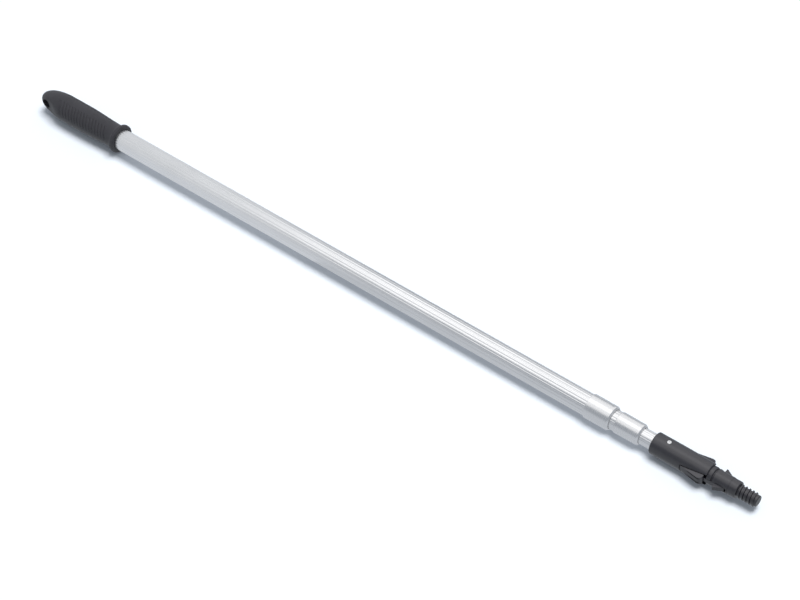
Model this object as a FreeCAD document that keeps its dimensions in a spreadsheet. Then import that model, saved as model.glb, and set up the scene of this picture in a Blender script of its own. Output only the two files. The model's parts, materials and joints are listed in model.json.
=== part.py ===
import FreeCAD, Part
import os
import re

import Sketcher

# A telescopic pole of three aluminium tubes that slide in one another and lock by twisting.
# The pole lies along +X with its hand grip at the rear and its threaded head in front, +Z up.
# The origin is below the middle of the closed pole, on the floor that the grip's lip rests on.
# Inside each body, x is the distance from the grip's nose and the pole's axis is the x axis.

DIMENSIONS = (
    # The whole pole
    ("closed_length", 1276.0, "grip nose to thread tip, pushed together"),
    ("axis_height", 22.2, "pole axis above the floor, equal to the grip's lip radius"),
    ("running_gap", 0.08, "radial clearance of a sliding fit"),
    ("seat_gap", 0.02, "radial clearance of a glued or pressed seat"),
    # Tubes
    ("outer_radius", 16.0, "outer tube, over its flutes' crests"),
    ("outer_bore", 14.7, "outer tube, inside"),
    ("outer_rear", 38.0, "outer tube's rear end"),
    ("outer_front", 1045.0, "outer tube's front end, inside its collar"),
    ("middle_radius", 14.0, "middle tube, over its crests"),
    ("middle_bore", 12.8, "middle tube, inside"),
    ("middle_rear", 128.0, "middle tube's rear end"),
    ("middle_front", 1090.5, "middle tube's front end, inside its collar"),
    ("inner_radius", 11.4, "inner tube, over its crests"),
    ("inner_bore", 10.2, "inner tube, inside"),
    ("inner_rear", 222.0, "inner tube's rear end"),
    ("inner_front", 1125.4, "inner tube's front end, inside the head sleeve"),
    ("flute_cutter", 3.6, "radius of a flute's hollow"),
    ("flute_depth", 0.3, "depth of a flute below the crests"),
    ("outer_flutes", 24, "flutes round the outer tube"),
    ("middle_flutes", 21, "flutes round the middle tube"),
    ("inner_flutes", 16, "flutes round the inner tube"),
    # Collars and their guide bushes
    ("collar1_rear", 1015.5, "outer collar's rear face"),
    ("collar1_front", 1054.0, "outer collar's front face"),
    ("collar1_radius", 17.6, "outer collar"),
    ("collar1_nose", 17.5, "outer collar at its front end"),
    ("collar2_rear", 1062.0, "middle collar's rear face"),
    ("collar2_front", 1099.5, "middle collar's front face"),
    ("collar2_radius", 15.25, "middle collar at its rear end"),
    ("collar2_nose", 14.95, "middle collar at its front end"),
    ("collar_edge", 0.6, "bevel on a collar's rear edge"),
    ("collar_taper", 4.0, "length over which a collar narrows in front"),
    ("collar_drop", 2.1, "how much its radius falls there"),
    ("collar_lip", 2.2, "thickness of the lip that holds the bush"),
    ("lip_gap", 0.45, "radial gap between a collar's lip and the tube in it"),
    # Grip
    ("grip_length", 162.5, "grip nose to grip mouth"),
    ("grip_nose", 17.8, "radius that the nose is rounded from"),
    ("grip_nose_round", 13.0, "rounding of the nose"),
    ("grip_swell_start", 46.0, "start of the thickest stretch"),
    ("grip_swell_end", 81.0, "end of the thickest stretch"),
    ("grip_swell", 20.3, "thickest radius"),
    ("grip_waist_station", 150.0, "thinnest place, before the lip"),
    ("grip_waist", 18.0, "thinnest radius"),
    ("grip_lip_rear", 155.8, "rear face of the lip"),
    ("grip_lip_round", 2.0, "rounding of the lip's edges"),
    ("hang_station", 15.5, "hang hole's centre"),
    ("hang_radius", 7.0, "hang hole"),
    ("cheek_half", 12.7, "flat cheeks beside the hang hole, from the axis"),
    ("cheek_end", 25.0, "front end of the flat cheeks"),
    ("cheek_blend", 46.0, "where the cheeks run out into the grip"),
    ("cheek_cut", 24.0, "how far out the cheek cutter reaches"),
    ("rear_plug_length", 14.0, "plug that closes the outer tube"),
    # Twist locks, measured back from the rear end of the tube that carries them
    ("plug_flange", 4.0, "lock plug's flange, behind the tube"),
    ("plug_depth", 14.0, "lock plug's length in the tube"),
    ("plug_play", 0.6, "gap between the flange and the tube it slides in"),
    ("spindle_radius", 4.0, "lock spindle"),
    ("spindle_seat", 10.0, "spindle's length in the plug"),
    ("spindle_tail", 50.0, "spindle's rear end"),
    ("expander_front", 8.0, "expander's front face"),
    ("expander_web", 14.0, "rear face of the expander's web"),
    ("expander_rear", 40.0, "expander's rear face"),
    ("expander_mouth", 9.6, "expander's cone at its rear face"),
    ("expander_throat", 6.2, "expander's cone at its web"),
    ("slit_half", 1.0, "half the width of an expander slit"),
    ("slit_front", 17.0, "front end of the slits"),
    ("cone_front", 24.0, "cone nut's front face"),
    ("cone_rear", 44.0, "cone nut's rear face"),
    ("cone_tip", 7.1, "cone nut's radius in front"),
    ("cone_base", 9.2, "cone nut's radius where it leaves the expander"),
    ("moving_gap", 0.3, "clearance of pieces that only pass each other"),
    ("clip_front", 48.0, "front face of the clip that keeps the nut on"),
    ("clip_radius", 6.4, "retaining clip"),
    # Head
    ("sleeve_rear", 1118.4, "head sleeve's rear face"),
    ("sleeve_front", 1204.4, "head sleeve's front face"),
    ("sleeve_radius", 15.7, "head sleeve"),
    ("sleeve_nose", 15.4, "head sleeve at its front end"),
    ("sleeve_edge", 0.8, "bevel on the sleeve's edges"),
    ("sleeve_lip", 6.0, "length of the sleeve's lip on the inner tube"),
    ("core_radius", 13.2, "head connector inside the sleeve"),
    ("spigot_rear", 1094.0, "rear end of the connector's spigot"),
    ("spigot_lead", 1.5, "lead-in on the spigot"),
    ("root_ring", 12.9, "ring at the root of the neck"),
    ("ring_edge", 0.7, "bevel on the edges of the neck's rings"),
    ("neck_radius", 12.1, "neck"),
    ("groove_radius", 11.0, "groove round the neck"),
    ("groove_rear", 1210.6, "rear side of the groove, where the root ring ends"),
    ("groove_front", 1212.3, "front side of the groove"),
    ("band_radius", 12.7, "band in front of the groove"),
    ("band_front", 1218.0, "where the band has sloped down to the neck"),
    ("band_slope", 3.0, "length of that slope"),
    ("land_rear", 1235.0, "rear end of the land that guides a handle's socket"),
    ("land_radius", 11.7, "that land"),
    ("shoulder", 1247.0, "shoulder that the thread starts from"),
    ("shoulder_edge", 0.8, "bevel on the shoulder and the tip"),
    ("thread_crest", 9.5, "thread, over its crests"),
    ("thread_root", 7.8, "thread, at its roots"),
    ("thread_pitch", 5.08, "five threads to the inch"),
    ("thread_base", 3.2, "ridge's width at the root"),
    ("thread_flank", 0.95, "how far each flank leans in"),
    ("thread_sunk", 0.5, "depth of the ridge's foot in the core"),
    ("thread_start", 1247.0, "rear end of the ridge"),
    ("thread_end_gap", 2.3, "plain tip in front of the ridge"),
    # Latch
    ("pin_station", 1139.3, "latch pin's axis"),
    ("pin_radius", 1.6, "latch pin"),
    ("pin_seat", 15.3, "height of the flats under the pin's heads"),
    ("pin_head", 3.1, "pin head's radius"),
    ("pin_head_height", 1.3, "pin head's height"),
    ("pin_head_round", 0.9, "rounding of a pin head"),
    ("pin_dimple", 1.3, "radius of the dimple in a pin head"),
    ("pin_dimple_depth", 0.8, "depth of the dimple"),
    ("pin_play", 0.05, "radial clearance of a lever's eye on the pin"),
    ("eye_radius", 5.0, "lever's eye"),
    ("eye_split", 0.15, "gap from the mid plane to each eye"),
    ("arm_half", 3.1, "half the height of a lever's arm"),
    ("window_half", 3.4, "half the height of the window for the levers"),
    ("window_rear", 1133.3, "rear end of the window"),
    ("window_round", 1230.6, "centre of the window's round front end"),
    ("flat_rear", 1160.0, "rear end of the flats under the finger pads"),
    ("flat_half", 7.5, "flats under the pads, from the axis"),
    ("flat_cut", 9.6, "half the height of those flats"),
    ("arm_start", 1147.3, "where the arm leaves the eye"),
    ("arm_start_in", 1.2, "arm's inner edge there"),
    ("arm_out", 9.6, "arm's outer edge behind the pad"),
    ("arm_neck_out", 12.8, "arm's outer edge in front of the pad"),
    ("pad_rear", 1166.7, "finger pad's rear end"),
    ("pad_front", 1201.0, "finger pad's front face"),
    ("pad_foot", 13.0, "pad's under side, from the axis"),
    ("pad_rear_top", 15.1, "pad's top at its rear end"),
    ("pad_front_top", 20.7, "pad's top at its front face"),
    ("pad_rear_half", 4.3, "half the pad's width at its rear end"),
    ("pad_rear_top_half", 4.0, "half the width of the pad's top at its rear end"),
    ("pad_front_top_half", 6.0, "half the width of the pad's top in front"),
    ("pad_foot_half", 8.0, "half the width of the pad's foot in front"),
    ("pad_round", 6.0, "rounding of the pad's front edge"),
    ("rill_start", 1176.0, "rear end of the finger rills in the pad's top"),
    ("rill_depth", 2.0, "depth of the rills at the pad's front face"),
    ("rill_half", 0.8, "half the width of a rill"),
    ("rill_offset", 3.6, "each rill's distance from the lever's middle plane"),
    ("pad_play", 0.8, "gap round the pad's rear end in the sleeve's slot"),
    ("pad_front_play", 1.2, "gap beside the pad's front end in the slot"),
    ("barb_rear", 1217.5, "barb's rear face"),
    ("barb_tip", 18.3, "barb's tip, from the axis"),
    ("barb_flat", 1.5, "length of the barb's tip"),
    ("barb_front", 1231.0, "lever's front end"),
    ("barb_front_out", 11.4, "barb's ramp at the lever's front end"),
    ("barb_front_in", 7.4, "arm's inner edge at the lever's front end"),
    ("spring_station", 1185.0, "latch spring's axis"),
    ("spring_pocket", 2.4, "radius of the spring's pocket in a lever"),
    ("spring_pocket_end", 10.0, "closed end of the pocket, from the axis"),
    ("spring_coil", 1.4, "spring's mean radius"),
    ("spring_wire", 0.35, "spring wire's radius"),
    ("spring_half", 6.2, "half the spring's length between wire centres"),
    ("spring_pitch", 2.05, "spring's pitch"),
)

doc = FreeCAD.newDocument("roller_extension_pole")
dims = doc.addObject("Spreadsheet::Sheet", "dims")
for row, (alias, value, meaning) in enumerate(DIMENSIONS, start=1):
    dims.set(f"A{row}", meaning)
    dims.set(f"B{row}", str(value))
    dims.setAlias(f"B{row}", alias)
doc.recompute()

pieces = []


def bound(text):
    """The same expression with every dimension's name pointing at the sheet."""
    return re.sub(r"[a-z]\w*", lambda word: "dims." + word.group(), text)


def new_body(name, turn=0.0):
    """A body on the pole's axis, turned about it by an angle in degrees."""
    body = doc.addObject("PartDesign::Body", name)
    body.Label = name
    about_axis = FreeCAD.Rotation(FreeCAD.Vector(1, 0, 0), turn)
    body.Placement = FreeCAD.Placement(FreeCAD.Vector(), about_axis)
    body.setExpression(".Placement.Base.x", bound("-closed_length / 2"))
    body.setExpression(".Placement.Base.z", bound("axis_height"))
    pieces.append(body)
    return body


def new_sketch(body, name, plane, offset="", slide=""):
    """A sketch on one of the body's planes, moved along the plane's normal or its x axis."""
    sketch = body.newObject("Sketcher::SketchObject", name)
    base = next(item for item in body.Origin.OriginFeatures if item.Role == plane)
    sketch.AttachmentSupport = [(base, "")]
    sketch.MapMode = "FlatFace"
    if offset:
        sketch.setExpression(".AttachmentOffset.Base.z", bound(offset))
    if slide:
        sketch.setExpression(".AttachmentOffset.Base.x", bound(slide))
    return sketch


def tie(sketch, geometry, end, right, up):
    """Fix one end of a line, or a circle's centre, by its distances from the sketch's origin."""
    for kind, axis, text in (("DistanceX", -2, right), ("DistanceY", -1, up)):
        if text == "0":
            sketch.addConstraint(Sketcher.Constraint("PointOnObject", geometry, end, axis))
        else:
            index = sketch.addConstraint(Sketcher.Constraint(kind, -1, 1, geometry, end, 1.0))
            sketch.setExpression(f"Constraints[{index}]", bound(text))


def add_outline(sketch, corners):
    """A closed outline of straight lines through corners given as expressions."""
    first = sketch.GeometryCount
    count = len(corners)
    seeds = [FreeCAD.Vector(place + 1, 1 + place % 2, 0) for place in range(count)]
    for place in range(count):
        sketch.addGeometry(Part.LineSegment(seeds[place], seeds[(place + 1) % count]))
    for place in range(count):
        following = first + (place + 1) % count
        joint = Sketcher.Constraint("Coincident", first + place, 2, following, 1)
        sketch.addConstraint(joint)
    for place, (right, up) in enumerate(corners):
        tie(sketch, first + place, 1, right, up)


def add_circle(sketch, right, up, radius):
    """A circle whose centre and radius are expressions."""
    normal = FreeCAD.Vector(0, 0, 1)
    geometry = sketch.addGeometry(Part.Circle(FreeCAD.Vector(1, 1, 0), normal, 1.0))
    tie(sketch, geometry, 3, right, up)
    index = sketch.addConstraint(Sketcher.Constraint("Radius", geometry, 1.0))
    sketch.setExpression(f"Constraints[{index}]", bound(radius))


def turned(name, corners):
    """A body turned about the pole's axis from corners given as (station, radius)."""
    body = new_body(name)
    sketch = new_sketch(body, f"{name}_profile", "XY_Plane")
    add_outline(sketch, corners)
    turning = body.newObject("PartDesign::Revolution", f"{name}_turning")
    turning.Profile = sketch
    turning.ReferenceAxis = (sketch, ["H_Axis"])
    turning.Angle = 360
    return body


def pad(body, sketch, length, midplane=False):
    """Material added along the sketch's normal."""
    feature = body.newObject("PartDesign::Pad", f"{sketch.Name}_pad")
    feature.Profile = sketch
    feature.SideType = "Symmetric" if midplane else "One side"
    feature.setExpression("Length", bound(length))
    return feature


def pocket(body, sketch, length="", midplane=False, flip=False):
    """Material cut away, through everything when no length is given."""
    feature = body.newObject("PartDesign::Pocket", f"{sketch.Name}_pocket")
    feature.Profile = sketch
    feature.SideType = "Symmetric" if midplane else "One side"
    feature.Reversed = flip
    if length:
        feature.setExpression("Length", bound(length))
    else:
        feature.Type = "ThroughAll"
    return feature


def round_pattern(body, feature, sketch, count):
    """Copies of a feature spread evenly about the sketch's normal."""
    pattern = body.newObject("PartDesign::PolarPattern", f"{feature.Name}_pattern")
    pattern.Originals = [feature]
    pattern.Axis = (sketch, ["N_Axis"])
    pattern.Angle = 360
    pattern.setExpression("Occurrences", bound(count))
    body.Tip = pattern
    return pattern


def mirror(body, feature, plane):
    """A copy of a feature on the other side of one of the body's planes."""
    mirrored = body.newObject("PartDesign::Mirrored", f"{feature.Name}_mirror")
    mirrored.Originals = [feature]
    base = next(item for item in body.Origin.OriginFeatures if item.Role == plane)
    mirrored.MirrorPlane = (base, [""])
    body.Tip = mirrored
    return mirrored


def near(value, alias):
    """Whether a measure equals a cell's value."""
    return abs(value - dims.get(alias)) < 0.01


def edges_where(body, test):
    """Names of the edges of the body's tip that pass a test."""
    doc.recompute()
    edges = enumerate(body.Tip.Shape.Edges, start=1)
    return [f"Edge{number}" for number, edge in edges if test(edge)]


def is_round(edge):
    """Whether an edge is a circle or an arc."""
    return isinstance(edge.Curve, Part.Circle)


def round_edges(body, edges, radius):
    """A fillet on edges of the body's tip."""
    base = body.Tip
    fillet = body.newObject("PartDesign::Fillet", f"{body.Name}_{radius}")
    fillet.Base = (base, edges)
    fillet.setExpression("Radius", bound(radius))
    return fillet


# Tubes

def make_tube(name, prefix):
    """A fluted tube: a plain tube with shallow hollows all round its outside."""
    rear = f"{prefix}_rear"
    front = f"{prefix}_front"
    bore = f"{prefix}_bore"
    radius = f"{prefix}_radius"
    body = turned(name, [(rear, bore), (front, bore), (front, radius), (rear, radius)])
    sketch = new_sketch(body, f"{name}_flute", "YZ_Plane")
    add_circle(sketch, f"{radius} + flute_cutter - flute_depth", "0", "flute_cutter")
    flute = pocket(body, sketch, flip=True)
    doc.recompute()
    round_pattern(body, flute, sketch, f"{prefix}_flutes")


# Collars and guide bushes

def make_collar(name, collar, tube, running_tube):
    """A collar on a tube's front end, with a lip that keeps the guide bush in."""
    rear = f"{collar}_rear"
    front = f"{collar}_front"
    seat = f"{tube}_radius + seat_gap"
    lip = f"{running_tube}_radius + lip_gap"
    turned(name, [
        (rear, seat),
        (rear, f"{collar}_radius - collar_edge"),
        (f"{rear} + collar_edge", f"{collar}_radius"),
        (f"{front} - collar_taper", f"{collar}_nose"),
        (f"{front} - collar_taper / 2", f"{collar}_nose - collar_drop / 4"),
        (front, f"{collar}_nose - collar_drop"),
        (front, lip),
        (f"{front} - collar_lip", lip),
        (f"{front} - collar_lip", seat),
    ])


def make_bush(name, collar, tube, running_tube):
    """A plain ring between the tube's end and the collar's lip, which guides the next tube."""
    rear = f"{tube}_front"
    front = f"{collar}_front - collar_lip"
    bore = f"{running_tube}_radius + running_gap"
    turned(name, [(rear, bore), (front, bore), (front, f"{tube}_radius"), (rear, f"{tube}_radius")])


# Grip

def make_grip():
    """A swelling rubber grip with a blunt nose, a hang hole, flat cheeks and a lip in front."""
    seat = "outer_radius + seat_gap"
    body = turned("grip", [
        ("0", "0"),
        ("0", "grip_nose"),
        ("grip_swell_start", "grip_swell"),
        ("grip_swell_end", "grip_swell"),
        ("grip_waist_station", "grip_waist"),
        ("grip_lip_rear", "grip_waist"),
        ("grip_lip_rear", "axis_height"),
        ("grip_length", "axis_height"),
        ("grip_length", seat),
        ("outer_rear", seat),
        ("outer_rear", "0"),
    ])
    lip_edges = edges_where(
        body, lambda edge: is_round(edge) and near(edge.Curve.Radius, "axis_height"))
    round_edges(body, lip_edges, "grip_lip_round")
    nose_edge = edges_where(
        body, lambda edge: is_round(edge) and near(edge.Curve.Radius, "grip_nose"))
    round_edges(body, nose_edge, "grip_nose_round")
    doc.recompute()
    cheek = new_sketch(body, "grip_cheek", "XY_Plane")
    add_outline(cheek, [
        ("-cheek_cut", "cheek_half"),
        ("cheek_end", "cheek_half"),
        ("cheek_blend", "grip_swell + seat_gap"),
        ("cheek_blend", "cheek_cut"),
        ("-cheek_cut", "cheek_cut"),
    ])
    cut = pocket(body, cheek, midplane=True)
    doc.recompute()
    mirror(body, cut, "XZ_Plane")
    hole = new_sketch(body, "grip_hang_hole", "XZ_Plane")
    add_circle(hole, "hang_station", "0", "hang_radius")
    pocket(body, hole, midplane=True)


def make_rear_plug():
    """A plug in the outer tube's rear end."""
    front = "outer_rear + rear_plug_length"
    radius = "outer_bore - seat_gap"
    turned("rear_plug", [("outer_rear", "0"), ("outer_rear", radius), (front, radius), (front, "0")])


# Twist locks

def make_lock(name, carried, carrier):
    """The five pieces of a twist lock, on the rear end of the carried tube."""
    end = f"{carried}_rear"
    flange = f"{end} - plug_flange"
    flange_radius = f"{carrier}_bore - plug_play"
    seat = f"{carried}_bore - seat_gap"
    turned(f"{name}_lock_plug", [
        (flange, "spindle_radius"),
        (flange, flange_radius),
        (end, flange_radius),
        (end, seat),
        (f"{end} + plug_depth", seat),
        (f"{end} + plug_depth", "0"),
        (f"{end} + spindle_seat", "0"),
        (f"{end} + spindle_seat", "spindle_radius"),
    ])
    turned(f"{name}_lock_spindle", [
        (f"{end} - spindle_tail", "0"),
        (f"{end} - spindle_tail", "spindle_radius"),
        (f"{end} + spindle_seat", "spindle_radius"),
        (f"{end} + spindle_seat", "0"),
    ])
    make_expander(f"{name}_lock_expander", end, f"{carrier}_bore - running_gap")
    turned(f"{name}_lock_cone", [
        (f"{end} - cone_rear", "spindle_radius + running_gap"),
        (f"{end} - cone_rear", "cone_base"),
        (f"{end} - expander_rear", "cone_base"),
        (f"{end} - cone_front", "cone_tip"),
        (f"{end} - cone_front", "spindle_radius + running_gap"),
    ])
    turned(f"{name}_lock_clip", [
        (f"{end} - spindle_tail", "spindle_radius"),
        (f"{end} - spindle_tail", "clip_radius"),
        (f"{end} - clip_front", "clip_radius"),
        (f"{end} - clip_front", "spindle_radius"),
    ])


def make_expander(name, end, radius):
    """A sleeve split by four slits, with a cone inside that the cone nut spreads."""
    hole = "spindle_radius + moving_gap"
    body = turned(name, [
        (f"{end} - expander_rear", "expander_mouth"),
        (f"{end} - expander_rear", radius),
        (f"{end} - expander_front", radius),
        (f"{end} - expander_front", hole),
        (f"{end} - expander_web", hole),
        (f"{end} - expander_web", "expander_throat"),
    ])
    slit = new_sketch(body, f"{name}_slit", "XZ_Plane")
    add_outline(slit, [
        (f"{end} - expander_rear - slit_half", "-slit_half"),
        (f"{end} - slit_front", "-slit_half"),
        (f"{end} - slit_front", "slit_half"),
        (f"{end} - expander_rear - slit_half", "slit_half"),
    ])
    cut = pocket(body, slit, length="outer_radius")
    doc.recompute()
    axis_sketch = new_sketch(body, f"{name}_axis", "YZ_Plane")
    round_pattern(body, cut, axis_sketch, "4")


# Head

def make_connector():
    """The head's core: spigot, body with a window for the levers, neck and coarse thread."""
    body = turned("head_connector", [
        ("spigot_rear", "0"),
        ("spigot_rear", "inner_bore - seat_gap - spigot_lead"),
        ("spigot_rear + spigot_lead", "inner_bore - seat_gap"),
        ("inner_front", "inner_bore - seat_gap"),
        ("inner_front", "core_radius"),
        ("sleeve_front", "core_radius"),
        ("sleeve_front", "root_ring"),
        ("groove_rear - ring_edge", "root_ring"),
        ("groove_rear", "root_ring - ring_edge"),
        ("groove_rear", "groove_radius"),
        ("groove_front", "groove_radius"),
        ("groove_front", "band_radius - ring_edge"),
        ("groove_front + ring_edge", "band_radius"),
        ("band_front - band_slope", "band_radius"),
        ("band_front", "neck_radius"),
        ("land_rear", "neck_radius"),
        ("land_rear", "land_radius"),
        ("shoulder - shoulder_edge", "land_radius"),
        ("shoulder", "land_radius - shoulder_edge"),
        ("shoulder", "thread_root"),
        ("closed_length - shoulder_edge", "thread_root"),
        ("closed_length", "thread_root - shoulder_edge"),
        ("closed_length", "0"),
    ])
    ridge = new_sketch(body, "thread_ridge", "XY_Plane")
    foot = "thread_root - thread_sunk"
    add_outline(ridge, [
        ("thread_start", foot),
        ("thread_start + thread_flank", "thread_crest"),
        ("thread_start + thread_base - thread_flank", "thread_crest"),
        ("thread_start + thread_base", foot),
    ])
    helix = body.newObject("PartDesign::AdditiveHelix", "thread_helix")
    helix.Profile = ridge
    helix.ReferenceAxis = (ridge, ["H_Axis"])
    helix.Mode = "pitch-height-angle"
    helix.setExpression("Pitch", bound("thread_pitch"))
    ridge_run = "closed_length - thread_end_gap - thread_base - thread_start"
    helix.setExpression("Height", bound(ridge_run))
    doc.recompute()
    window = new_sketch(body, "lever_window", "XZ_Plane")
    add_outline(window, [
        ("window_rear", "-window_half"),
        ("window_round", "-window_half"),
        ("window_round", "window_half"),
        ("window_rear", "window_half"),
    ])
    pocket(body, window, midplane=True)
    window_end = new_sketch(body, "window_end", "XZ_Plane")
    add_circle(window_end, "window_round", "0", "window_half")
    pocket(body, window_end, midplane=True)
    flat = new_sketch(body, "pad_flat", "XY_Plane")
    add_outline(flat, [
        ("flat_rear", "flat_half"),
        ("sleeve_front", "flat_half"),
        ("sleeve_front", "sleeve_radius"),
        ("flat_rear", "sleeve_radius"),
    ])
    flat_cut = pocket(body, flat, length="2 * flat_cut", midplane=True)
    doc.recompute()
    mirror(body, flat_cut, "XZ_Plane")
    hole = new_sketch(body, "connector_pin_hole", "XY_Plane")
    add_circle(hole, "pin_station", "0", "pin_radius")
    pocket(body, hole, midplane=True)


def make_sleeve():
    """The black sleeve over the joint, with two slots, open in front, for the finger pads."""
    bore = "core_radius + seat_gap"
    body = turned("head_sleeve", [
        ("sleeve_rear", "inner_radius + seat_gap"),
        ("sleeve_rear", "sleeve_radius - sleeve_edge"),
        ("sleeve_rear + sleeve_edge", "sleeve_radius"),
        ("pad_rear", "sleeve_radius"),
        ("sleeve_front - sleeve_edge", "sleeve_nose"),
        ("sleeve_front", "sleeve_nose - sleeve_edge"),
        ("sleeve_front", bore),
        ("sleeve_rear + sleeve_lip", bore),
        ("sleeve_rear + sleeve_lip", "inner_radius + seat_gap"),
    ])
    slots = new_sketch(body, "sleeve_slots", "XZ_Plane")
    rear_half = "pad_rear_half + pad_play"
    front_half = "pad_foot_half + pad_front_play"
    add_outline(slots, [
        ("pad_rear - pad_play", f"-({rear_half})"),
        ("pad_front", f"-({front_half})"),
        ("sleeve_front + pad_play", f"-({front_half})"),
        ("sleeve_front + pad_play", front_half),
        ("pad_front", front_half),
        ("pad_rear - pad_play", rear_half),
    ])
    pocket(body, slots, midplane=True)
    hole = new_sketch(body, "sleeve_pin_hole", "XY_Plane")
    add_circle(hole, "pin_station", "0", "pin_radius")
    pocket(body, hole, midplane=True)
    flat = new_sketch(body, "sleeve_pin_flat", "XY_Plane", offset="pin_seat")
    add_circle(flat, "pin_station", "0", "pin_head + seat_gap")
    flat_cut = pocket(body, flat, length="pin_head", flip=True)
    doc.recompute()
    mirror(body, flat_cut, "XY_Plane")


def make_latch_pin():
    """The rivet that both levers turn on, with a dimpled round head at each end."""
    body = new_body("latch_pin")
    shank = new_sketch(body, "pin_shank", "XY_Plane")
    add_circle(shank, "pin_station", "0", "pin_radius")
    pad(body, shank, "2 * pin_seat", midplane=True)
    head = new_sketch(body, "pin_heads", "XY_Plane", offset="pin_seat")
    add_circle(head, "pin_station", "0", "pin_head")
    head_pad = pad(body, head, "pin_head_height")
    doc.recompute()
    mirror(body, head_pad, "XY_Plane")
    top = dims.get("pin_seat") + dims.get("pin_head_height")
    rims = edges_where(
        body, lambda edge: is_round(edge) and abs(abs(edge.Curve.Center.z) - top) < 0.01)
    round_edges(body, rims, "pin_head_round")
    dimple = new_sketch(body, "pin_dimples", "XY_Plane", offset="pin_seat + pin_head_height")
    add_circle(dimple, "pin_station", "0", "pin_dimple")
    dimple_cut = pocket(body, dimple, length="pin_dimple_depth")
    doc.recompute()
    mirror(body, dimple_cut, "XY_Plane")


def cut_rills(body, name):
    """Two rills along the pad's top that deepen towards its front face."""
    rise = "(pad_front_top - pad_rear_top) / (pad_front - pad_rear)"
    rill_top = f"pad_rear_top + (rill_start - pad_rear) * {rise}"
    for number, offset in enumerate(("-rill_offset", "rill_offset"), start=1):
        rill = new_sketch(body, f"{name}_rill{number}", "XY_Plane", offset=offset)
        add_outline(rill, [
            ("rill_start", rill_top),
            ("pad_front + rill_half", "pad_front_top - rill_depth"),
            ("pad_front + rill_half", "pad_front_top + rill_depth"),
            ("rill_start", f"{rill_top} + rill_depth"),
        ])
        pocket(body, rill, length="2 * rill_half", midplane=True)
    doc.recompute()


def make_lever(name, turn):
    """A latch lever: eye on the pin, arm, finger pad and a barb that catches in front."""
    body = new_body(name, turn)
    eye = new_sketch(body, f"{name}_eye", "XY_Plane")
    add_circle(eye, "pin_station", "0", "eye_radius")
    pad(body, eye, "2 * arm_half", midplane=True)
    arm = new_sketch(body, f"{name}_arm", "XY_Plane")
    add_outline(arm, [
        ("pin_station + pin_radius", "arm_start_in"),
        ("arm_start", "arm_start_in"),
        ("barb_front", "barb_front_in"),
        ("barb_front", "barb_front_out"),
        ("barb_rear + barb_flat", "barb_tip"),
        ("barb_rear", "barb_tip"),
        ("barb_rear", "arm_neck_out"),
        ("pad_front", "arm_neck_out"),
        ("pad_front", "pad_foot"),
        ("pad_rear", "pad_foot"),
        ("pad_rear", "arm_out"),
        ("pin_station + pin_radius", "eye_radius - pin_play"),
    ])
    pad(body, arm, "2 * arm_half", midplane=True)
    doc.recompute()
    rear = new_sketch(body, f"{name}_pad_rear", "YZ_Plane", offset="pad_rear")
    add_outline(rear, [
        ("pad_foot - moving_gap", "-pad_rear_half"),
        ("pad_rear_top", "-pad_rear_top_half"),
        ("pad_rear_top", "pad_rear_top_half"),
        ("pad_foot - moving_gap", "pad_rear_half"),
    ])
    front = new_sketch(body, f"{name}_pad_front", "YZ_Plane", offset="pad_front")
    add_outline(front, [
        ("pad_foot - moving_gap", "-pad_foot_half"),
        ("pad_front_top", "-pad_front_top_half"),
        ("pad_front_top", "pad_front_top_half"),
        ("pad_foot - moving_gap", "pad_foot_half"),
    ])
    loft = body.newObject("PartDesign::AdditiveLoft", f"{name}_pad")
    loft.Profile = rear
    loft.Sections = [front]
    loft.Ruled = True
    crown = edges_where(
        body, lambda edge: all(
            near(end.Point.x, "pad_front") and near(end.Point.y, "pad_front_top")
            for end in edge.Vertexes))
    round_edges(body, crown, "pad_round")
    doc.recompute()
    cut_rills(body, name)
    other_eye = new_sketch(body, f"{name}_eye_cut", "XY_Plane", offset="eye_split")
    add_circle(other_eye, "pin_station", "0", "eye_radius + moving_gap")
    pocket(body, other_eye, length="2 * arm_half")
    hole = new_sketch(body, f"{name}_pin_hole", "XY_Plane")
    add_circle(hole, "pin_station", "0", "pin_radius + pin_play")
    pocket(body, hole, midplane=True)
    seat = new_sketch(body, f"{name}_spring_pocket", "XZ_Plane")
    add_circle(seat, "spring_station", "0", "spring_pocket")
    pocket(body, seat, length="spring_pocket_end")


def make_spring():
    """The coil spring that pushes the two levers apart."""
    body = new_body("latch_spring")
    wire = new_sketch(body, "spring_section", "XY_Plane", slide="spring_station")
    add_circle(wire, "spring_coil", "-spring_half", "spring_wire")
    coil = body.newObject("PartDesign::AdditiveHelix", "spring_helix")
    coil.Profile = wire
    coil.ReferenceAxis = (wire, ["V_Axis"])
    coil.Mode = "pitch-height-angle"
    coil.setExpression("Pitch", bound("spring_pitch"))
    coil.setExpression("Height", bound("2 * spring_half"))


make_tube("outer_tube", "outer")
make_tube("middle_tube", "middle")
make_tube("inner_tube", "inner")
make_collar("outer_collar", "collar1", "outer", "middle")
make_collar("middle_collar", "collar2", "middle", "inner")
make_bush("outer_guide_bush", "collar1", "outer", "middle")
make_bush("middle_guide_bush", "collar2", "middle", "inner")
make_grip()
make_rear_plug()
make_lock("middle", "middle", "outer")
make_lock("inner", "inner", "middle")
make_connector()
make_sleeve()
make_latch_pin()
make_lever("latch_lever_left", 0.0)
make_lever("latch_lever_right", 180.0)
make_spring()
doc.recompute()

# Checks, then the files

for item in doc.Objects:
    if "Invalid" in item.State or "Error" in item.State:
        raise RuntimeError(f"{item.Name} failed: {item.State}")
for body in pieces:
    if body.Shape.isNull() or not body.Shape.isValid():
        raise RuntimeError(f"{body.Label} has no valid shape")

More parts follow.
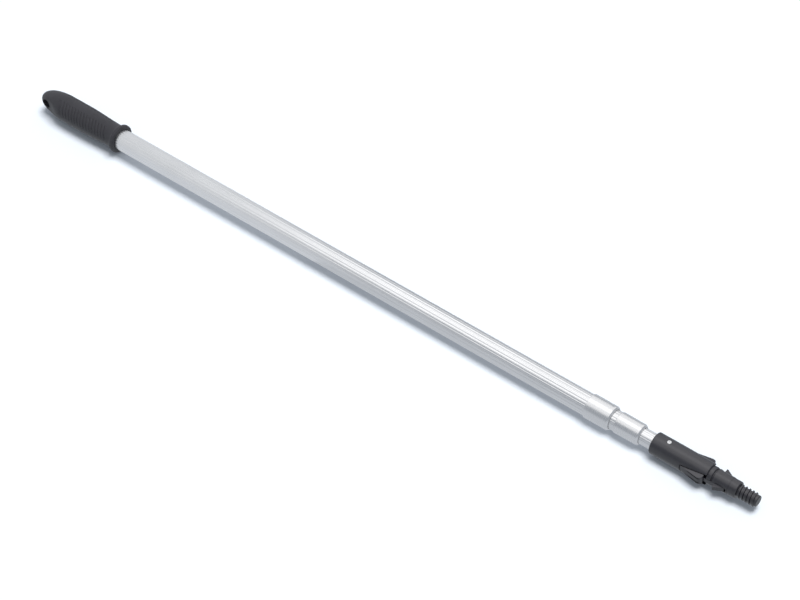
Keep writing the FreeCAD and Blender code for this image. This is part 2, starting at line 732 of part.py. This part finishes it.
os.makedirs("parts", exist_ok=True)
for body in pieces:
    body.Shape.exportStep(os.path.join("parts", f"{body.Label}.step"))
    box = body.Shape.BoundBox
    print(
        f"{body.Label}: {len(body.Shape.Solids)} solid, {body.Shape.Volume:.0f} mm3,"
        f" x {box.XMin:.1f} {box.XMax:.1f}, y {box.YMin:.1f} {box.YMax:.1f},"
        f" z {box.ZMin:.1f} {box.ZMax:.1f}"
    )
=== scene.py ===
import json
import math

import bpy
import numpy as np
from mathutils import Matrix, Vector


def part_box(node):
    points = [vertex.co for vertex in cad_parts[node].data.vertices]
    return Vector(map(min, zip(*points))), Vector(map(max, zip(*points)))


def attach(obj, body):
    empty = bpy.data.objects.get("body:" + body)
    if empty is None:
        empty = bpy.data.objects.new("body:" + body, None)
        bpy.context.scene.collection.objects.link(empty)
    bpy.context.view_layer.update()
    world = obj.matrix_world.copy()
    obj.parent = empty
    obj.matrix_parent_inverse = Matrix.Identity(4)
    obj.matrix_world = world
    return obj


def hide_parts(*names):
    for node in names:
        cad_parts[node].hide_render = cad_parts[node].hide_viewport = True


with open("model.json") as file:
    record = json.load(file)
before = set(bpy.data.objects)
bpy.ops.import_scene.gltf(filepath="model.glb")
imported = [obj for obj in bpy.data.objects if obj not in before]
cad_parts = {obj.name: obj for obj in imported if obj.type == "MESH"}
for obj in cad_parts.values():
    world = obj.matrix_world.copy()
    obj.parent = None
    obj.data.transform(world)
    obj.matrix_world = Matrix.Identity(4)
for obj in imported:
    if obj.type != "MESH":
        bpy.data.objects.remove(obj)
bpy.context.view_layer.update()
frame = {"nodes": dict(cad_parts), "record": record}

scene = bpy.context.scene
nodes_of = frame["nodes"]
MM = 0.001

# The pole's axis runs along +X at this height; stations are distances from the grip's nose.
grip_low, grip_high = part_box("grip")
NOSE_X = grip_low.x
AXIS_Z = (grip_low.z + grip_high.z) / 2
LIP_RADIUS = (grip_high.z - grip_low.z) / 2
GRIP_LENGTH = grip_high.x - grip_low.x
tube_low, tube_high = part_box("outer_tube")
TUBE_RADIUS = (tube_high.z - tube_low.z) / 2
TUBE_REAR = tube_low.x - NOSE_X


# Materials

def new_material(name, colour, metallic, roughness):
    """A Principled material and a small helper for its node tree."""
    material = bpy.data.materials.new(name)
    material.use_nodes = True
    tree = material.node_tree
    shader = tree.nodes["Principled BSDF"]
    shader.inputs["Base Color"].default_value = (*colour, 1.0)
    shader.inputs["Metallic"].default_value = metallic
    shader.inputs["Roughness"].default_value = roughness
    return material, tree, shader


def add_noise(tree, stretch, detail=4.0, rough=0.6):
    """Noise in object coordinates, with its own stretch along each axis."""
    place = tree.nodes.new("ShaderNodeTexCoord")
    mapping = tree.nodes.new("ShaderNodeMapping")
    mapping.inputs["Scale"].default_value = stretch
    noise = tree.nodes.new("ShaderNodeTexNoise")
    noise.inputs["Scale"].default_value = 1.0
    noise.inputs["Detail"].default_value = detail
    noise.inputs["Roughness"].default_value = rough
    tree.links.new(place.outputs["Object"], mapping.inputs["Vector"])
    tree.links.new(mapping.outputs["Vector"], noise.inputs["Vector"])
    return noise.outputs["Fac"]


NOISE_LOW = 0.3
NOISE_HIGH = 0.7


def spread(tree, value, low, high):
    """The noise value's usual range stretched to run from low to high."""
    ranged = tree.nodes.new("ShaderNodeMapRange")
    ranged.inputs["From Min"].default_value = NOISE_LOW
    ranged.inputs["From Max"].default_value = NOISE_HIGH
    ranged.inputs["To Min"].default_value = low
    ranged.inputs["To Max"].default_value = high
    tree.links.new(value, ranged.inputs["Value"])
    return ranged.outputs["Result"]


def tint(tree, shader, value, dark, light):
    """The base colour varies between two close colours."""
    mix = tree.nodes.new("ShaderNodeMix")
    mix.data_type = "RGBA"
    mix.inputs["A"].default_value = (*dark, 1.0)
    mix.inputs["B"].default_value = (*light, 1.0)
    tree.links.new(spread(tree, value, 0.0, 1.0), mix.inputs["Factor"])
    tree.links.new(mix.outputs["Result"], shader.inputs["Base Color"])


def bump(tree, shader, height, strength, distance):
    """Fine relief from a height value."""
    node = tree.nodes.new("ShaderNodeBump")
    node.inputs["Strength"].default_value = strength
    node.inputs["Distance"].default_value = distance
    tree.links.new(height, node.inputs["Height"])
    tree.links.new(node.outputs["Normal"], shader.inputs["Normal"])


def scaled(colour, factor):
    """A colour made lighter or darker."""
    return tuple(min(1.0, part * factor) for part in colour)


def drawn_aluminium(name, colour, roughness, along, around):
    """Satin anodised metal with fine lines along (tubes) or around (collars) the pole."""
    material, tree, shader = new_material(name, colour, 1.0, roughness)
    lines = add_noise(tree, (along, around, around))
    clouds = add_noise(tree, (9.0, 30.0, 30.0), detail=2.0)
    tint(tree, shader, clouds, scaled(colour, 0.96), scaled(colour, 1.02))
    tree.links.new(spread(tree, lines, roughness * 0.8, roughness * 1.2), shader.inputs["Roughness"])
    bump(tree, shader, lines, 0.12, 0.00002)
    return material


PLASTIC_IOR = 1.55


def moulded(name, colour, roughness, grain, relief, gloss=0.5):
    """Moulded plastic or rubber: fine grain, soft mottling, slightly uneven sheen."""
    material, tree, shader = new_material(name, colour, 0.0, roughness)
    shader.inputs["Specular IOR Level"].default_value = gloss
    shader.inputs["IOR"].default_value = PLASTIC_IOR
    fine = add_noise(tree, (grain, grain, grain), detail=6.0, rough=0.7)
    clouds = add_noise(tree, (60.0, 60.0, 60.0), detail=3.0)
    tint(tree, shader, clouds, scaled(colour, 0.86), scaled(colour, 1.14))
    tree.links.new(spread(tree, fine, roughness - 0.07, roughness + 0.07), shader.inputs["Roughness"])
    bump(tree, shader, fine, 0.35, relief)
    return material


def plated_steel(name, colour, roughness):
    """Bright plated steel with faint marks."""
    material, tree, shader = new_material(name, colour, 1.0, roughness)
    marks = add_noise(tree, (900.0, 900.0, 900.0), detail=3.0)
    tint(tree, shader, marks, scaled(colour, 0.9), scaled(colour, 1.05))
    tree.links.new(spread(tree, marks, roughness * 0.7, roughness * 1.4), shader.inputs["Roughness"])
    bump(tree, shader, marks, 0.1, 0.00002)
    return material


ALUMINIUM = (0.84, 0.84, 0.85)
tube_metal = drawn_aluminium("tube_metal", ALUMINIUM, 0.30, 6.0, 1400.0)
collar_metal = drawn_aluminium("collar_metal", ALUMINIUM, 0.28, 1600.0, 60.0)
head_plastic = moulded("head_plastic", (0.007, 0.006, 0.011), 0.35, 1500.0, 0.00004, 0.9)
lever_plastic = moulded("lever_plastic", (0.009, 0.008, 0.014), 0.34, 1500.0, 0.00004, 0.85)
grip_rubber = moulded("grip_rubber", (0.024, 0.023, 0.028), 0.55, 1100.0, 0.00006)
rivet_steel = plated_steel("rivet_steel", (0.82, 0.82, 0.83), 0.16)
spindle_steel = plated_steel("spindle_steel", (0.6, 0.6, 0.62), 0.3)
bush_nylon = moulded("bush_nylon", (0.10, 0.10, 0.11), 0.5, 900.0, 0.00003)
lock_plastic = moulded("lock_plastic", (0.62, 0.61, 0.57), 0.45, 900.0, 0.00003)
plug_plastic = moulded("plug_plastic", (0.06, 0.06, 0.065), 0.5, 900.0, 0.00003)

MATERIAL_OF_SLOT = {
    "tube_aluminium": tube_metal,
    "collar_aluminium": collar_metal,
    "head_plastic": head_plastic,
    "rivet_steel": rivet_steel,
    "steel": spindle_steel,
    "bush_nylon": bush_nylon,
    "lock_plastic": lock_plastic,
    "plug_plastic": plug_plastic,
    "grip_rubber": grip_rubber,
}


def dress_cad_nodes():
    """Every CAD node gets its slot's material; the levers have their own."""
    for entry in frame["record"]["subparts"]:
        node = nodes_of[entry["node"]]
        material = MATERIAL_OF_SLOT[entry["material_slot"]]
        if entry["node"].startswith("latch_lever"):
            material = lever_plastic
        for slot in node.material_slots:
            slot.material = material


# Grip

SWELL = 20.3 * MM
SWELL_END = 81 * MM
WAIST = 18.0 * MM
WAIST_AT = 149 * MM
NOSE_ROUND = 46 * MM
NOSE_CUT = 1.4 * MM
NOSE_RINGS = 36
NOSE_FIRST = 0.04       # first ring, as a share of all of them
NOSE_CROWDING = 2.2     # rings crowd towards the tip
RINGS_STEP = 0.5 * MM
AROUND = 180

LIP_THICK = 6.7 * MM
LIP_EDGE = 2.0 * MM
LIP_FILLET_OVER = 0.3   # share of the lip's thickness that its rear fillet takes
BORE_GAP = 0.02 * MM
BORE_EDGE = 0.6 * MM

CHEEK = 12.7 * MM
CHEEK_EASE = 1.02
CHEEK_END = 24 * MM
CHEEK_FADE = (20 * MM, 62 * MM)
CHEEK_OPENING = 22 * MM
CHEEK_SHARPNESS = 10
HANG_AT = 15.5 * MM
HANG_RADIUS = 7 * MM
HANG_FLARE = 1.6 * MM
HANG_PROUD = 0.1 * MM
HANG_AROUND = 64

RIB_START = 46 * MM
RIB_END = 137 * MM
RIB_PITCH = 6.0 * MM
RIB_DEPTH = 1.3 * MM
RIB_WIDTH = 0.8 * MM
RIB_LEAN = 0.38
RIB_FADE = 1.0 * MM
PANEL_TOP = math.radians(22)
PANEL_FOOT = math.radians(84)
SEAM_DEPTH = 0.25 * MM
SEAM_WIDTH = 0.5 * MM


def smooth(value, low, high):
    """0 below low, 1 above high, and a smooth step between."""
    t = np.clip((value - low) / (high - low), 0.0, 1.0)
    return t * t * (3 - 2 * t)


def grip_radius(station):
    """The grip's outline before ribs and cheeks: an ellipse with its tip cut off, swell, waist."""
    if station < NOSE_ROUND:
        return SWELL * (1 - ((NOSE_ROUND - station) / (NOSE_ROUND + NOSE_CUT)) ** 2) ** 0.5
    if station < SWELL_END:
        return SWELL
    t = min(1.0, (station - SWELL_END) / (WAIST_AT - SWELL_END))
    return SWELL + (WAIST - SWELL) * t * t * (3 - 2 * t)


def grip_path():
    """The grip's section, from the nose over the lip and back inside.

    Each entry is a station, a radius, and whether ribs and cheeks shape the ring there.
    """
    path = [(0.0, 0.0, False)]
    for share in np.linspace(NOSE_FIRST, 1.0, NOSE_RINGS):
        station = NOSE_ROUND * share ** NOSE_CROWDING
        path.append((station, grip_radius(station), True))
    count = round((WAIST_AT - NOSE_ROUND) / RINGS_STEP)
    for place in range(1, count + 1):
        station = NOSE_ROUND + (WAIST_AT - NOSE_ROUND) * place / count
        path.append((station, grip_radius(station), True))
    fillet_end = GRIP_LENGTH - LIP_THICK + LIP_FILLET_OVER * LIP_THICK
    rise = LIP_RADIUS - WAIST
    for angle in np.linspace(0.1, 1.0, 14) * math.pi / 2:
        station = WAIST_AT + (fillet_end - WAIST_AT) * math.sin(angle)
        path.append((station, WAIST + rise * (1 - math.cos(angle)), False))
    for angle in np.linspace(0.0, 1.0, 8) * math.pi / 2:
        station = GRIP_LENGTH - LIP_EDGE + LIP_EDGE * math.sin(angle)
        path.append((station, LIP_RADIUS - LIP_EDGE + LIP_EDGE * math.cos(angle), False))
    bore = TUBE_RADIUS + BORE_GAP
    path.append((GRIP_LENGTH, bore + BORE_EDGE, False))
    path.append((GRIP_LENGTH - BORE_EDGE, bore, False))
    path.append((TUBE_REAR, bore, False))
    path.append((TUBE_REAR, 0.0, False))
    return path


def rib_shift(station, angle, radius):
    """How far forward each point of a ring lies, so that the rings run along the slanted ribs."""
    arc = (np.clip(np.abs(angle), PANEL_TOP, PANEL_FOOT) - PANEL_TOP) * radius
    rise = np.clip((station - CHEEK_END) / (RIB_START - CHEEK_END), 0.0, 1.0)
    fall = np.clip((WAIST_AT - station) / (WAIST_AT - RIB_END), 0.0, 1.0)
    return RIB_LEAN * arc * min(rise, fall)


def rib_relief(station, angle, radius):
    """Depth of the grooves in the two side panels, and of the seams below them."""
    side = np.abs(angle)
    phase = (station - RIB_START) / RIB_PITCH
    offset = (phase - np.round(phase)) * RIB_PITCH
    groove = np.exp(-((offset / RIB_WIDTH) ** 2))
    blur = RIB_FADE / radius
    panel = smooth(side, PANEL_TOP - blur, PANEL_TOP + blur)
    panel = panel * (1 - smooth(side, PANEL_FOOT - blur, PANEL_FOOT + blur))
    ends = smooth(station, RIB_START - 2 * RIB_FADE, RIB_START - RIB_FADE)
    ends = ends * (1 - smooth(station, RIB_END + RIB_FADE, RIB_END + 2 * RIB_FADE))
    seam = np.exp(-(((side - PANEL_FOOT) * radius / SEAM_WIDTH) ** 2))
    return (RIB_DEPTH * groove * panel + SEAM_DEPTH * seam) * ends


def grip_ring(station, radius, shaped):
    """Points of one ring: a circle, with ribs and flattened cheeks where it is shaped."""
    angle = np.linspace(-math.pi, math.pi, AROUND, endpoint=False)
    radii = np.full(AROUND, radius)
    along = np.full(AROUND, station)
    if shaped:
        radii = radii - rib_relief(station, angle, radius)
        along = along + rib_shift(station, angle, radius)
    side = radii * np.sin(angle)
    up = radii * np.cos(angle)
    if shaped:
        reach = CHEEK * CHEEK_EASE + CHEEK_OPENING * smooth(station, *CHEEK_FADE)
        side = side / (1 + (np.abs(side) / reach) ** CHEEK_SHARPNESS) ** (1 / CHEEK_SHARPNESS)
    return [(NOSE_X + x, y, AXIS_Z + z) for x, y, z in zip(along, side, up)]


def revolve_grip():
    """The closed mesh of the grip, ring by ring, with a single point at each end."""
    path = grip_path()
    points = [(NOSE_X, 0.0, AXIS_Z)]
    for station, radius, shaped in path[1:-1]:
        points.extend(grip_ring(station, radius, shaped))
    points.append((NOSE_X + path[-1][0], 0.0, AXIS_Z))
    last = len(points) - 1
    faces = []
    ring_count = len(path) - 2
    for ring in range(ring_count - 1):
        here = 1 + ring * AROUND
        after = here + AROUND
        for place in range(AROUND):
            beside = (place + 1) % AROUND
            faces.append((here + place, here + beside, after + beside, after + place))
    final = 1 + (ring_count - 1) * AROUND
    for place in range(AROUND):
        beside = (place + 1) % AROUND
        faces.append((0, 1 + beside, 1 + place))
        faces.append((last, final + place, final + beside))
    mesh = bpy.data.meshes.new("grip_skin")
    mesh.from_pydata(points, [], faces)
    return mesh


def hang_cutter():
    """A round cutter across the nose whose mouths flare out with a soft edge."""
    profile = [(-2 * CHEEK, HANG_RADIUS + HANG_FLARE)]
    for angle in np.linspace(0.0, 1.0, 7) * math.pi / 2:
        inward = HANG_FLARE * math.sin(angle)
        profile.append((inward - CHEEK - HANG_PROUD, HANG_RADIUS + HANG_FLARE - inward))
    profile = profile + [(-y, radius) for y, radius in reversed(profile)]
    points = []
    for y, radius in profile:
        for place in range(HANG_AROUND):
            angle = 2 * math.pi * place / HANG_AROUND
            x = NOSE_X + HANG_AT + radius * math.cos(angle)
            points.append((x, y, AXIS_Z + radius * math.sin(angle)))
    faces = []
    for ring in range(len(profile) - 1):
        here = ring * HANG_AROUND
        after = here + HANG_AROUND
        for place in range(HANG_AROUND):
            beside = (place + 1) % HANG_AROUND
            faces.append((here + place, after + place, after + beside, here + beside))
    final = (len(profile) - 1) * HANG_AROUND
    faces.append(tuple(range(HANG_AROUND)))
    faces.append(tuple(reversed(range(final, final + HANG_AROUND))))
    mesh = bpy.data.meshes.new("hang_cutter")
    mesh.from_pydata(points, [], faces)
    cutter = bpy.data.objects.new("hang_cutter", mesh)
    scene.collection.objects.link(cutter)
    return cutter


def apply_modifiers(piece):
    """The piece's modifiers become its own mesh."""
    depsgraph = bpy.context.evaluated_depsgraph_get()
    result = bpy.data.meshes.new_from_object(piece.evaluated_get(depsgraph))
    piece.modifiers.clear()
    piece.data = result


def make_grip():
    """The ribbed rubber grip that stands for the plain CAD one."""
    grip = bpy.data.objects.new("grip_skin", revolve_grip())
    scene.collection.objects.link(grip)
    cutter = hang_cutter()
    cut = grip.modifiers.new("hang_hole", "BOOLEAN")
    cut.operation = "DIFFERENCE"
    cut.solver = "EXACT"
    cut.object = cutter
    apply_modifiers(grip)
    bpy.data.objects.remove(cutter)
    grip.data.materials.clear()
    grip.data.materials.append(grip_rubber)
    grip.data.shade_smooth()
    grip.data.set_sharp_from_angle(angle=math.radians(40))
    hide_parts("grip")
    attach(grip, "outer_section")


# Floor, light and camera

FLOOR_HALF = 30.0
FLOOR_GAP = 0.05 * MM


def make_floor():
    """A pale floor that touches the grip's lip and the outer collar."""
    collar_low, collar_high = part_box("outer_collar")
    rest_x = (collar_low.x + collar_high.x) / 2
    lip_x = grip_high.x - LIP_THICK / 2
    slope = (collar_low.z - grip_low.z) / (rest_x - lip_x)
    corners = [(-1, -1), (1, -1), (1, 1), (-1, 1)]
    corners = [(x * FLOOR_HALF, y * FLOOR_HALF) for x, y in corners]
    points = [(x, y, grip_low.z + slope * (x - lip_x) - FLOOR_GAP) for x, y in corners]
    mesh = bpy.data.meshes.new("floor")
    mesh.from_pydata(points, [], [(0, 1, 2, 3)])
    floor = bpy.data.objects.new("floor", mesh)
    scene.collection.objects.link(floor)
    material, tree, shader = new_material("floor_paper", (0.85, 0.89, 0.94), 0.0, 0.9)
    shader.inputs["Specular IOR Level"].default_value = 0.1
    grain = add_noise(tree, (400.0, 400.0, 400.0))
    tint(tree, shader, grain, (0.84, 0.88, 0.93), (0.86, 0.90, 0.95))
    mesh.materials.append(material)
    floor.visible_glossy = False


def add_panel(name, place, target, width, depth, radiance, colour):
    """A rectangle of a given brightness, aimed at a point, that only shows in reflections."""
    data = bpy.data.lights.new(name, "AREA")
    data.shape = "RECTANGLE"
    data.size = width
    data.size_y = depth
    data.color = colour
    data.energy = radiance * math.pi * width * depth
    lamp = bpy.data.objects.new(name, data)
    scene.collection.objects.link(lamp)
    lamp.location = place
    aim = Vector(target) - Vector(place)
    lamp.rotation_euler = aim.to_track_quat("-Z", "Y").to_euler()
    lamp.visible_diffuse = False
    lamp.visible_camera = False


ROOM_COLOUR = (0.86, 0.92, 1.0, 1.0)
ROOM_STRENGTH = 0.42
KEY_STRENGTH = 2.7
KEY_SPREAD = math.radians(35)
KEY_AIM = Vector((-0.1, -0.15, -1.0))
PANELS = (
    # name, place, target, width, depth, radiance, colour
    ("overhead", (0.35, 2.35, 1.3), (0.35, 2.35, 0.0), 2.4, 7.2, 0.6, (1.0, 0.97, 0.93)),
    ("strip", (0.35, 0.12, 1.2), (0.35, 0.12, 0.0), 2.4, 0.6, 0.5, (1.0, 1.0, 1.0)),
    ("beside", (-1.6, 0.0, 1.3), (0.0, 0.0, 1.3), 5.2, 2.6, 0.4, (1.0, 0.99, 0.96)),
    ("below_grip", (-1.3, 0.0, -0.01), (-1.3, 0.0, 1.0), 2.4, 5.0, 0.34, (0.96, 0.98, 1.0)),
    ("below_head", (1.1, 0.0, -0.01), (1.1, 0.0, 1.0), 2.4, 5.0, 0.22, (0.96, 0.98, 1.0)),
)


def make_light():
    """A pale room, a soft key from above, and panels that the metal mirrors."""
    world = bpy.data.worlds.new("room")
    world.use_nodes = True
    background = world.node_tree.nodes["Background"]
    background.inputs["Color"].default_value = ROOM_COLOUR
    background.inputs["Strength"].default_value = ROOM_STRENGTH
    scene.world = world
    key = bpy.data.lights.new("key", "SUN")
    key.energy = KEY_STRENGTH
    key.angle = KEY_SPREAD
    lamp = bpy.data.objects.new("key", key)
    scene.collection.objects.link(lamp)
    lamp.rotation_euler = KEY_AIM.to_track_quat("-Z", "Y").to_euler()
    lamp.visible_glossy = False
    for panel in PANELS:
        add_panel(*panel)
    scene.view_settings.view_transform = "Standard"


AZIMUTH = math.radians(38.65)
ELEVATION = math.radians(45.4)
DISTANCE = 2.978
AIM_STATION = 694.5 * MM
DROP = 3.3 * MM
LENS_MM = 96.75


def make_camera():
    """The camera looks down along the pole from the grip's lower left."""
    back = Vector((
        math.sin(AZIMUTH) * math.cos(ELEVATION),
        -math.cos(AZIMUTH) * math.cos(ELEVATION),
        math.sin(ELEVATION),
    ))
    side = Vector((math.cos(AZIMUTH), math.sin(AZIMUTH), 0.0))
    up = back.cross(side)
    data = bpy.data.cameras.new("camera")
    data.lens = LENS_MM
    data.sensor_width = 36.0
    data.clip_start = 0.05
    data.clip_end = 100.0
    camera = bpy.data.objects.new("camera", data)
    scene.collection.objects.link(camera)
    camera.location = Vector((NOSE_X + AIM_STATION, 0.0, AXIS_Z)) + back * DISTANCE - up * DROP
    camera.rotation_euler = (math.pi / 2 - ELEVATION, 0.0, AZIMUTH)
    scene.camera = camera


dress_cad_nodes()
make_grip()
make_floor()
make_light()
make_camera()
